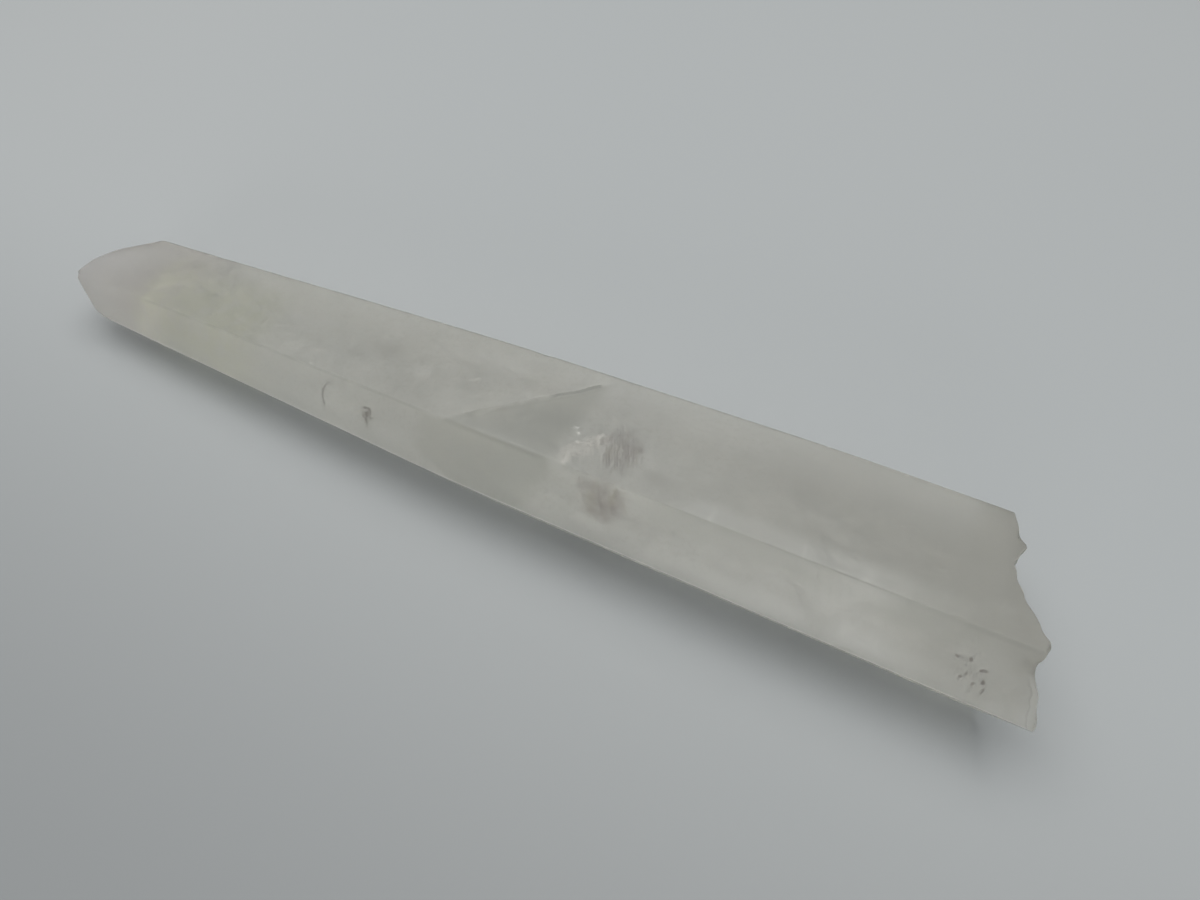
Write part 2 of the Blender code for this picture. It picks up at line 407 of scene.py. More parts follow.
def crystal_points():
    """Rows of points from the middle of the break, over its rim, along the prism and over the point."""
    side, share = columns()
    tip, end = rims(side, share)
    lines = len(side)
    rows = []

    # the break: from its middle out to the rim
    rim, _m = along_side(side, share, end[None, :])
    rim = rim[0]
    centre = np.array([3.4, 8.6])
    for rho in np.concatenate([np.linspace(0.02, 0.90, 30), [0.925, 0.945, 0.962, 0.975, 0.985, 0.992, 0.997]]):
        yz = centre + rho * (rim[:, 1:] - centre)
        target = np.column_stack([break_x(yz[:, 0], yz[:, 1]), yz])
        tilt = math.radians(38.0) * np.clip((rho - 0.55) / 0.45, 0, 1) ** 2
        out = yz - centre
        out = out / np.linalg.norm(out, axis=1)[:, None] * math.sin(tilt)
        out = np.column_stack([np.full(lines, math.cos(tilt)), out])
        rows.append((target - 1.6 * out, out, 2.2))
    # the rim itself
    t, m = along_side(side, share, end[None, :])
    out = t[0] - m[0]
    out[:, 0] = 0
    out /= np.linalg.norm(out, axis=1)[:, None]
    slant = out + np.array([1.0, 0, 0])
    slant /= np.linalg.norm(slant, axis=1)[:, None]
    rows.append((t[0] - slant * 0.8, slant, 1.4))

    # the prism, with rows crowded beside the break and bent to follow both rims
    foot_from, tip_from = 61.0, -54.0
    long = end.max() - foot_from
    for back in np.concatenate([[0.05, 0.12, 0.22, 0.36, 0.56], stations(0.85, long, 0.42)]):
        rows.append(("wall", end - back * (end - foot_from) / long))
    body = np.concatenate([stations(foot_from - 0.42, 24.0, 0.42), stations(24.0, -6.0, 0.3)[1:], stations(-6.0, tip_from, 0.42)[1:]])
    for x in body:
        rows.append(("wall", np.full(lines, x)))
    shares = np.concatenate([np.linspace(0, 1, 44)[1:-4], 1 - np.array([0.055, 0.034, 0.018, 0.007, 0.0])])
    for s in shares:
        rows.append(("wall", tip_from + s * (tip - tip_from)))

    built = []
    for row in rows:
        if row[0] is not None and isinstance(row[0], str):
            x = row[1]
            t, m = along_side(side, share, x[None, :])
            t, m = t[0], m[0]
            if x.min() > -56:
                out = t - m
                out[:, 0] = 0
                out /= np.linalg.norm(out, axis=1)[:, None]
                lean = math.radians(45.0) * (1 - np.clip((end - x) / 1.5, 0, 1))[:, None]
                out = out * np.cos(lean) + np.array([1.0, 0, 0]) * np.sin(lean)
                deep = np.clip(end - x, 0.75, 1.6)[:, None]
                built.append((t - out * deep, out, deep[:, 0] + 0.5))
            else:
                focus = np.column_stack([np.maximum(x, -58.0), np.full(lines, 4.4), np.full(lines, 5.6)])
                out = t - focus
                far = np.linalg.norm(out, axis=1)
                built.append((focus, out / far[:, None], far + 1.5))
        else:
            start, out, reach = row
            built.append((start, out, np.full(lines, reach)))

    # over the point: from the rim in to the middle of its faces
    t, _m = along_side(side, share, tip[None, :])
    focus = np.array([-60.0, 4.4, 5.6])
    pole = np.array([-73.6, 3.7, 6.3])
    for s in np.concatenate([[0.012, 0.03, 0.055], np.linspace(0.09, 0.985, 34)]):
        target = t[0] + s * (pole - t[0])
        out = target - focus
        far = np.linalg.norm(out, axis=1)
        built.append((np.tile(focus, (lines, 1)), out / far[:, None], far + 4.0))

    start = np.concatenate([b[0] for b in built])
    toward = np.concatenate([b[1] for b in built])
    reach = np.concatenate([b[2] for b in built])
    guess = start + toward * (reach - 0.5)[:, None]
    points = solve(start, toward, reach, surface_waves(guess))
    return points.reshape(len(built), lines, 3), focus, pole


def crystal_mesh():
    points, focus, pole = crystal_points()
    rows, lines, _ = points.shape
    foot_middle = solve(
        np.array([[66.0, 3.4, 8.6]]), np.array([[1.0, 0, 0]]), 18.0, surface_waves(np.array([[74.0, 3.4, 8.6]]))
    )
    out = (pole - focus) / np.linalg.norm(pole - focus)
    point_middle = solve(focus[None, :], out[None, :], 22.0, surface_waves(pole[None, :]))
    verts = np.concatenate([points.reshape(-1, 3), foot_middle, point_middle])
    a, b = rows * lines, rows * lines + 1
    faces = []
    for j in range(lines):
        k = (j + 1) % lines
        faces.append((a, j, k))
        last = (rows - 1) * lines
        faces.append((b, last + k, last + j))
    r = np.arange(rows - 1)[:, None] * lines
    j = np.arange(lines)[None, :]
    k = (j + 1) % lines
    quads = np.stack([r + j, r + lines + j, r + lines + k, r + k], -1).reshape(-1, 4)
    mesh = bpy.data.meshes.new("crystal")
    mesh.from_pydata(((verts - CENTRE) * MM).tolist(), [], faces + quads.tolist())
    mesh.update()
    return mesh, verts


def new_piece(name, mesh):
    obj = bpy.data.objects.new(name, mesh)
    bpy.context.scene.collection.objects.link(obj)
    return obj


def joined_mesh(name, shells):
    """One mesh out of many small closed shells, each (points, faces); points in millimetres."""
    verts, faces, count = [], [], 0
    for points, shell in shells:
        verts.append(points)
        faces += [tuple(count + i for i in face) for face in shell]
        count += len(points)
    mesh = bpy.data.meshes.new(name)
    mesh.from_pydata(((np.concatenate(verts) - CENTRE) * MM).tolist(), [], faces)
    mesh.update()
    return mesh


# ---- places on the two faces that are seen most ------------------------------------
def unit(v):
    v = np.array(v, float)
    return v / np.linalg.norm(v)


TOP_UP, FRONT_FACE = unit(FOOT[0][TOP]), unit(FOOT[0][FRONT])


def on_top(x, y):
    return np.array([x, y, float(section(x)[1][UP])])


def on_front(x, down):
    """The point of the front face that is `down` from the ridge along the slope."""
    y, z = section(x)
    return np.array([x, float(y[RIDGE]), float(z[RIDGE])]) + down * np.array([0.0, -C60, -S60])


def facing(places):
    """The outward direction at ideal points of the top or front face."""
    return np.where((places[:, 2] > section(places[:, 0])[1][UP] - 0.12)[:, None], TOP_UP, FRONT_FACE)


def off_ridge(places, least):
    """Which ideal points lie at least this far from the ridge."""
    y, z = section(places[:, 0])
    return np.hypot(places[:, 1] - y[RIDGE], places[:, 2] - z[RIDGE]) > least


def seated(places, depths):
    """Move ideal points of the top or front face to the given depths under the true surface."""
    places = np.array(places, float)
    toward = facing(places)
    surface = solve(places - toward * 2.5, toward, 3.2, surface_waves(places))
    return surface - toward * np.asarray(depths)[:, None]


# ---- clear and clouded zones --------------------------------------------------------
def clear_wedge(p):
    """1 in the wedge of clear quartz past the growth step, fading to 0 outside it."""
    x, z = p[..., 0], p[..., 2]
    _u, v = step_place(p)
    left = np.where(p[..., 1] > -4.6, v, x + 5.4 - 0.35 * np.clip(11.5 - z, 0, None) ** 2)
    right = 13.6 + 0.5 * (z - 9.0) - x
    return ramp(-0.6, 0.9, left) * ramp(-1.5, 2.5, right)


# (centre, half-axes, strength): soft lighter (+) and darker (-) places: clouds under the surface, and the marked
# entries, which are painted light and shade
ZONES = [
    ((-71.0, -1.0, 8.0), (4.0, 2.0, 3.0), 0.3),
    # painted shade: darker on the upper back faces of the point, against the rim of light they show
    ((-69.0, 8.5, 9.5), (6.0, 4.0, 2.5), -0.3),
    ((-33.0, 5.0, 12.6), (3.4, 1.6, 1.5), 0.9),
    ((-27.5, 6.6, 13.0), (2.6, 1.2, 1.5), 0.6),
    ((-29.0, 2.4, 12.8), (4.4, 1.5, 1.4), -0.5),
    ((-26.6, 8.8, 13.2), (3.0, 1.5, 1.5), -0.4),
    ((-16.5, 4.6, 13.8), (5.6, 3.2, 2.4), -0.6),
    ((-20.8, 2.2, 13.6), (2.2, 1.0, 1.4), -0.4),
    ((-9.5, 8.5, 14.3), (5.5, 3.0, 2.0), 0.35),
    ((-9.1, 2.9, 14.4), (1.3, 0.9, 1.0), 0.7),
    ((3.0, 8.0, 15.0), (8.0, 3.6, 2.0), 0.55),
    ((-3.5, 0.0, 14.7), (5.0, 2.4, 1.5), 0.55),
    ((12.5, 11.2, 15.3), (4.0, 1.6, 1.5), 0.5),
    ((29.9, -1.4, 15.8), (2.6, 1.5, 1.5), -0.8),
    ((26.0, 8.5, 15.8), (5.0, 2.5, 1.5), -0.25),
    ((34.0, 1.0, 16.0), (6.0, 1.6, 1.5), 0.4),
    ((47.0, 7.0, 16.4), (9.0, 3.2, 1.5), -0.35),
    ((60.5, 2.0, 16.8), (4.4, 2.0, 1.5), -0.75),
    ((66.3, 0.6, 16.9), (3.0, 2.4, 1.5), -0.6),
    ((54.0, -0.2, 16.6), (5.0, 0.8, 1.5), -0.4),
    ((72.5, -2.0, 17.1), (3.2, 1.6, 1.5), 0.35),
    ((70.0, 7.0, 17.0), (9.0, 6.0, 1.5), -0.45),
    ((52.0, 8.0, 16.6), (12.0, 4.5, 1.5), -0.25),
    ((-14.2, -5.3, 10.4), (1.6, 1.0, 1.6), -0.7),
    ((29.0, -6.6, 12.0), (2.2, 1.0, 1.8), -0.5),
    ((34.5, -6.5, 12.4), (3.0, 1.0, 1.6), -0.35),
    ((62.5, -6.4, 14.2), (5.0, 1.2, 2.0), -0.55),
    # painted shade in the hollow under the ridge at the foot
    ((77.4, -6.6, 15.6), (1.3, 0.9, 1.4), -1.0),
    # painted light: lighter along the lower part of the front face
    ((45.0, -8.6, 9.4), (14.0, 1.4, 2.2), 0.5),
    ((61.0, -9.2, 9.6), (5.0, 1.2, 2.0), 0.6),
    ((22.0, -7.6, 9.8), (5.0, 1.2, 2.0), 0.35),
    ((-9.0, -6.2, 9.0), (4.0, 1.4, 2.2), 0.8),
]


def shade(p):
    out = np.zeros(p.shape[:-1])
    for centre, half, strength in ZONES:
        r = (((p - np.array(centre)) / np.array(half)) ** 2).sum(-1)
        near = r < 9
        out[near] += strength * np.exp(-r[near])
    out += 0.42 * cloudy(p, (8.0, 4.0, 4.0), 611, 4)
    return out


# ---- what is sealed inside ------------------------------------------------------------
def turned(pick, count):
    """Random rotations, (count, 3, 3)."""
    q = pick.normal(size=(count, 4))
    q /= np.linalg.norm(q, axis=1)[:, None]
    w, x, y, z = q.T
    return np.stack(
        [
            np.stack([1 - 2 * (y * y + z * z), 2 * (x * y - z * w), 2 * (x * z + y * w)], -1),
            np.stack([2 * (x * y + z * w), 1 - 2 * (x * x + z * z), 2 * (y * z - x * w)], -1),
            np.stack([2 * (x * z - y * w), 2 * (y * z + x * w), 1 - 2 * (x * x + y * y)], -1),
        ],
        1,
    )


def flecks(name, places, sizes, pick, flat=0.35):
    """A cloud of tiny closed flakes, as one mesh."""
    shape = np.array([(1, 1, 1), (-1, -1, 1), (-1, 1, -1), (1, -1, -1)]) * (0.354, 0.354, 0.354 * flat)
    count = len(places)
    corners = np.einsum("nij,kj->nki", turned(pick, count), shape) * sizes[:, None, None] + places[:, None, :]
    faces = (np.arange(count) * 4)[:, None, None] + np.array([(0, 1, 2), (0, 3, 1), (0, 2, 3), (1, 3, 2)])
    mesh = bpy.data.meshes.new(name)
    mesh.from_pydata(((corners.reshape(-1, 3) - CENTRE) * MM).tolist(), [], faces.reshape(-1, 3).tolist())
    mesh.update()
    return mesh


def haze():
    """The milky haze: fine flakes all through the crystal, few of them in the clear wedge."""
    pick = np.random.default_rng(29)
    p = pick.uniform((-77, -11, 0), (80, 18.5, 17.3), (120000, 3))
    p = p[field(p, surface_waves(p)) < -0.5 - 0.8 * ramp(0.0, 30.0, p[:, 0])]
    dense = 0.42 + 0.55 * cloudy(p, (11.0, 6.0, 6.0), 401, 3) + 0.22 * shade(p)
    dense = np.clip(dense, 0.06, 1.0) * (1 - 0.85 * clear_wedge(p)) + 0.6 * (1 - ramp(-66.0, -54.0, p[:, 0]))
    p = p[pick.random(len(p)) < dense][:HAZE_COUNT]
    return flecks("haze", p, pick.uniform(0.22, 0.5, len(p)) * (1 - 0.25 * ramp(0.0, 30.0, p[:, 0])), pick)


HAZE_COUNT = 38000


def box_shell(centre, along, across, normal, length, width, thick):
    corners = [
        centre + along * (i * length / 2) + across * (j * width / 2) + normal * (k * thick / 2)
        for i in (-1, 1)
        for j in (-1, 1)
        for k in (-1, 1)
    ]
    faces = [(0, 1, 3, 2), (4, 6, 7, 5), (0, 4, 5, 1), (2, 3, 7, 6), (0, 2, 6, 4), (1, 5, 7, 3)]
    return np.array(corners), faces


def flake(centre, normal, size, pick):
    """A thin irregular chip of five to seven corners lying across the normal."""
    normal = unit(normal)
    a = unit(np.cross(normal, pick.normal(size=3)))
    b = np.cross(normal, a)
    n = int(pick.integers(5, 8))
    turn = (np.arange(n) + pick.uniform(-0.3, 0.3, n)) * 2 * math.pi / n
    r = size * pick.uniform(0.32, 0.62, n)
    rim = centre + a * (r * np.cos(turn))[:, None] + b * (r * np.sin(turn))[:, None]
    points = np.concatenate([rim + normal * 0.012, rim - normal * 0.012, [centre + normal * 0.03, centre - normal * 0.03]])
    faces = []
    for i in range(n):
        j = (i + 1) % n
        faces += [(i, j, 2 * n), (j + n, i + n, 2 * n + 1), (i, i + n, j + n, j)]
    return points, faces


def thread(path, radius, sides=5):
    """A fine closed tube along a path, pointed at both ends."""
    path = np.array(path, float)
    t = np.gradient(path, axis=0)
    t /= np.linalg.norm(t, axis=1)[:, None]
    points, faces = [], []
    n = len(path)
    for i in range(n):
        a = unit(np.cross(t[i], (0.2, 0.5, 0.84)))
        b = np.cross(t[i], a)
        r = radius * (0.25 if i in (0, n - 1) else 1.0)
        for k in range(sides):
            w = 2 * math.pi * k / sides
            points.append(path[i] + r * (a * math.cos(w) + b * math.sin(w)))
    for i in range(n - 1):
        for k in range(sides):
            m = (k + 1) % sides
            faces.append((i * sides + k, i * sides + m, (i + 1) * sides + m, (i + 1) * sides + k))
    faces.append(tuple(range(sides))[::-1])
    faces.append(tuple((n - 1) * sides + k for k in range(sides)))
    return np.array(points), faces


def smooth_path(points, steps=6):
    points = np.array(points, float)
    ends = np.concatenate([[2 * points[0] - points[1]], points, [2 * points[-1] - points[-2]]])
    out = []
    for i in range(1, len(ends) - 2):
        p0, p1, p2, p3 = ends[i - 1 : i + 3]
        for t in np.arange(steps) / steps:
            out.append(0.5 * (2 * p1 + (p2 - p0) * t + (2 * p0 - 5 * p1 + 4 * p2 - p3) * t**2 + (3 * p1 - p0 - 3 * p2 + p3) * t**3))
    return np.array(out + [points[-1]])


def streaks(centre, along, across, half_along, half_across, count, pick, width):
    """Fine parallel slivers just under the surface, thinning out towards the rim of a soft oval."""
    along, across = unit(along), unit(across)
    normal = unit(np.cross(along, across))
    ab = pick.uniform(-1, 1, (6 * count, 2))
    r2 = (ab**2).sum(1)
    ab = ab[(r2 < 1) & (pick.random(len(ab)) > 0.8 * r2**1.2)][:count]
    b = np.round(ab[:, 1] * half_across / 0.36) * 0.36 + pick.normal(0, 0.03, len(ab))
    places = centre + along * (ab[:, :1] * half_along) + across * b[:, None]
    places = places[off_ridge(places, 0.75) & (np.abs(facing(places) @ normal) > 0.95)]
    out = []
    for middle in seated(places, pick.uniform(0.035, 0.08, len(places))):
        run = unit(along + across * pick.normal(0, 0.05))
        side = unit(np.cross(normal, run))
        out.append(box_shell(middle, run, side, np.cross(run, side), pick.uniform(0.3, 1.2), pick.uniform(*width), 0.03))
    return out


def healed_crack():
    """The white patch: overlapping thin chips in a slanting oval, a little under the top face."""
    pick = np.random.default_rng(5)
    along, across = unit((3.3, 6.5, 0.1)), unit((6.5, -3.3, 0.15))
    ab = pick.uniform(-1, 1, (1500, 2))
    a, b = ab[:, :1], ab[:, 1:]
    places = on_top(18.3, -0.45) + along * a * 3.9 + across * (b * 1.6 + 0.35 * np.sin(2.3 * a))
    ragged = 0.34 * noise(places, 0.9, 17) + 0.22 * noise(places, 0.35, 19)
    places = places[np.hypot(a, b)[:, 0] + ragged < 0.9][:520]
    places = seated(places, pick.uniform(0.22, 0.8, len(places)))
    return [flake(p, TOP_UP + pick.normal(0, 0.14, 3), pick.uniform(0.25, 0.6), pick) for p in places]


def glints():
    """Small bright cracks round the white patch."""
    pick = np.random.default_rng(6)
    sites = []
    for x, y, spread_x, spread_y, count in (
        (15.9, 2.25, 0.35, 0.12, 12),
        (16.5, 1.6, 0.25, 0.15, 6),
        (21.2, 0.5, 0.4, 0.45, 18),
        (21.9, 1.8, 0.45, 0.45, 8),
        (19.9, 2.2, 0.25, 0.3, 6),
    ):
        sites += [on_top(x + pick.normal(0, spread_x), y + pick.normal(0, spread_y)) for _ in range(count)]
    for x, down, spread_x, spread_down, count in (
        (16.6, 0.8, 0.35, 0.3, 16),
        (18.2, 0.8, 0.3, 0.2, 12),
        (15.7, 0.45, 0.2, 0.15, 6),
        (17.2, 1.5, 0.3, 0.25, 6),
        (21.6, 2.1, 0.2, 0.4, 8),
    ):
        sites += [
            on_front(x + pick.normal(0, spread_x), max(0.2, down + pick.normal(0, spread_down))) for _ in range(count)
        ]
    places = seated(sites, pick.uniform(0.06, 0.14, len(sites)))
    return [
        flake(p, out + pick.normal(0, 0.10, 3), pick.uniform(0.16, 0.40), pick)
        for p, out in zip(places, facing(np.array(sites)))
    ]


def stained_crack(side):
    """One of the two brown patches that flank the ridge, as fine parallel slivers."""
    if side == TOP:
        pick = np.random.default_rng(7)
        return streaks(on_top(23.4, 1.3), (1.35, -2.84, 0.04), (4.79, 2.22, 0.14), 4.0, 3.0, 200, pick, (0.07, 0.14))
    pick = np.random.default_rng(17)
    return streaks(on_front(23.7, 2.85), (1.0, -2.02, -3.43), (6.97, 0.1, 0.25), 3.2, 4.0, 260, pick, (0.07, 0.13))


# (x, y, reach along, reach across, how many, largest size): loose groups of specks on the top face
SPECK_GROUPS = [
    (74, -2.5, 2.0, 0.6, 3, 0.26), (61, 1.0, 5.0, 1.2, 7, 0.25), (30, -1.5, 1.5, 0.6, 3, 0.26), (35, 5.0, 12.0, 2.0, 5, 0.30),
    (5, 1.0, 0.6, 0.2, 4, 0.36), (-15, 4.5, 3.0, 0.8, 4, 0.30), (-40, 6.0, 1.0, 0.4, 2, 0.34), (-53, 3.0, 7.0, 0.8, 4, 0.25),
]
# the same on the front face, with the distance down from the ridge in place of y
FRONT_GROUPS = [
    (73, 6.0, 3.0, 2.5, 11, 0.40), (48, 3.5, 7.0, 1.5, 3, 0.24), (31, 3.5, 3.5, 0.8, 5, 0.26), (8, 4.0, 4.0, 0.6, 2, 0.24),
    (-4, 2.0, 0.5, 0.3, 1, 0.34), (-19, 1.5, 0.6, 0.2, 2, 0.26), (-40, 3.5, 13.0, 1.0, 6, 0.25),
]


def scattered(groups, on_face, pick):
    """Sites of the specks of some groups, each within its group's reach."""
    sites = []
    for along, across, reach_along, reach_across, count, largest in groups:
        for _ in range(count):
            place = on_face(along + pick.uniform(-reach_along, reach_along), across + pick.uniform(-reach_across, reach_across))
            sites.append((place, 0.07, 1.35 * largest * pick.uniform(0.7, 1.0)))
    return sites


def dark_specks():
    pick = np.random.default_rng(8)
    strewn = np.random.default_rng(15)
    sites = scattered(SPECK_GROUPS, on_top, strewn) + scattered(FRONT_GROUPS, on_front, strewn)
    # the blot low on the front face, and its tail
    for _ in range(60):
        place = on_front(-14.2 + pick.normal(0, 0.42), 4.1 + pick.normal(0, 0.72))
        sites.append((place, pick.uniform(0.13, 0.30), pick.uniform(0.18, 0.34)))
    for down in np.arange(4.9, 6.5, 0.24):
        sites.append((on_front(-14.0 + pick.normal(0, 0.08), down), 0.12, pick.uniform(0.14, 0.24)))
    places = seated([place for place, _, _ in sites], [depth for _, depth, _ in sites])
    outward = facing(np.array([place for place, _, _ in sites]))
    out = [flake(p, up + pick.normal(0, 0.05, 3), size, pick) for p, up, (_, _, size) in zip(places, outward, sites)]
    # the curl beside it, and a fine scratch near the foot
    turns = np.arange(-1.3, 1.5, 0.4)
    curl = smooth_path([on_front(-21.0 - 1.6 * math.cos(turn), 3.4 + 2.0 * math.sin(turn)) for turn in turns])
    scratch = smooth_path([on_top(76.0, -3.0), on_top(75.7, -3.5), on_top(75.3, -4.3)])
    out.append(thread(seated(curl, np.full(len(curl), 0.10)), 0.08))
    out.append(thread(seated(scratch, np.full(len(scratch), 0.09)), 0.065))
    return out


def pale_marks():
    """The pale ring and cloud, and the light flecks of the point."""
    pick = np.random.default_rng(9)
    sites = []
    for turn in np.arange(0, 2 * math.pi, 0.42):
        r = 0.95 + pick.normal(0, 0.12)
        sites.append(on_top(-9.1 + 1.2 * r * math.cos(turn), 2.9 + r * math.sin(turn)))
    sites += [on_top(pick.normal(-32.5, 2.4), pick.normal(6.2, 0.8)) for _ in range(60)]
    places = seated(sites, pick.uniform(0.15, 0.5, len(sites)))
    out = [flake(p, TOP_UP + pick.normal(0, 0.14, 3), pick.uniform(0.3, 0.6), pick) for p in places]
    p = pick.uniform((-75.5, -3.5, 4.5), (-58, 4.2, 11.2), (6000, 3))
    level = field(p, surface_waves(p))
    kept = (level > -0.7) & (level < -0.2) & (pick.random(len(p)) > ramp(-70.0, -58.0, p[:, 0]))
    for place in p[kept][:260]:
        out.append(flake(place, pick.normal(size=3), pick.uniform(0.15, 0.36), pick))
    return out


# ============================================================================
# Materials
# ============================================================================
class Nodes:
    """Short ways to add and join shader nodes."""

    def __init__(self, name):
        self.material = bpy.data.materials.new(name)
        self.material.use_nodes = True
        self.tree = self.material.node_tree
        self.shader = self.tree.nodes["Principled BSDF"]

    def add(self, kind, **values):
        node = self.tree.nodes.new(kind)
        for key, value in values.items():
            if key in node.inputs:
                node.inputs[key].default_value = value
            else:
                setattr(node, key, value)
        return node

    def link(self, a, b):
        self.tree.links.new(a, b)

    def maths(self, how, a, b=None, clamp=False):
        node = self.tree.nodes.new("ShaderNodeMath")
        node.operation = how
        node.use_clamp = clamp
        for socket, value in zip(node.inputs, (a, b)):
            if value is None:
                continue
            if isinstance(value, (int, float)):
                socket.default_value = value
            else:
                self.link(value, socket)
        return node.outputs[0]

    def mask(self, name):
        return self.add("ShaderNodeAttribute", attribute_name=name).outputs["Fac"]

    def noise(self, scale, detail=3.0, rough=0.5, distort=0.0, stretch=None):
        place = self.tree.nodes.new("ShaderNodeTexCoord").outputs["Object"]
        if stretch:
            mapping = self.add("ShaderNodeMapping")
            mapping.inputs["Scale"].default_value = stretch
            self.link(place, mapping.inputs["Vector"])
            place = mapping.outputs[0]
        node = self.tree.nodes.new("ShaderNodeTexNoise")
        node.inputs["Scale"].default_value = scale
        node.inputs["Detail"].default_value = detail
        node.inputs["Roughness"].default_value = rough
        node.inputs["Distortion"].default_value = distort
        self.link(place, node.inputs["Vector"])
        return node.outputs["Fac"]

    def mix(self, share, a, b):
        node = self.tree.nodes.new("ShaderNodeMix")
        node.data_type = "RGBA"
        sockets = [s for s in node.inputs if s.enabled]
        fac, first, second = node.inputs[0], node.inputs[6], node.inputs[7]
        for socket, value in ((fac, share), (first, a), (second, b)):
            if isinstance(value, (int, float)):
                socket.default_value = value
            elif isinstance(value, tuple):
                socket.default_value = (*value, 1.0)
            else:
                self.link(value, socket)
        return node.outputs[2]

    def along(self, point, direction):
        """Distance in millimetres from a point of the design, measured along a direction."""
        place = self.tree.nodes.new("ShaderNodeTexCoord").outputs["Object"]
        node = self.tree.nodes.new("ShaderNodeVectorMath")
        node.operation = "DOT_PRODUCT"
        self.link(place, node.inputs[0])
        node.inputs[1].default_value = [v / MM for v in direction]
        offset = float((np.array(point, float) - CENTRE) @ np.array(direction, float))
        return self.maths("SUBTRACT", node.outputs["Value"], offset)

    def times(self, *values):
        out = values[0]
        for value in values[1:]:
            out = self.maths("MULTIPLY", out, value)
        return out

    def band(self, value, a, b, soft_a, soft_b=None):
        """1 between a and b, fading to 0 outside over the soft widths."""
        soft_b = soft_b or soft_a
        return self.times(self.span(value, a - soft_a, a), self.span(value, b, b + soft_b, 1.0, 0.0))

    def span(self, value, a, b, low=0.0, high=1.0):
        node = self.tree.nodes.new("ShaderNodeMapRange")
        node.interpolation_type = "SMOOTHSTEP"
        for socket, v in zip(node.inputs[1:5], (a, b, low, high)):
            socket.default_value = v
        self.link(value, node.inputs[0])
        return node.outputs[0]


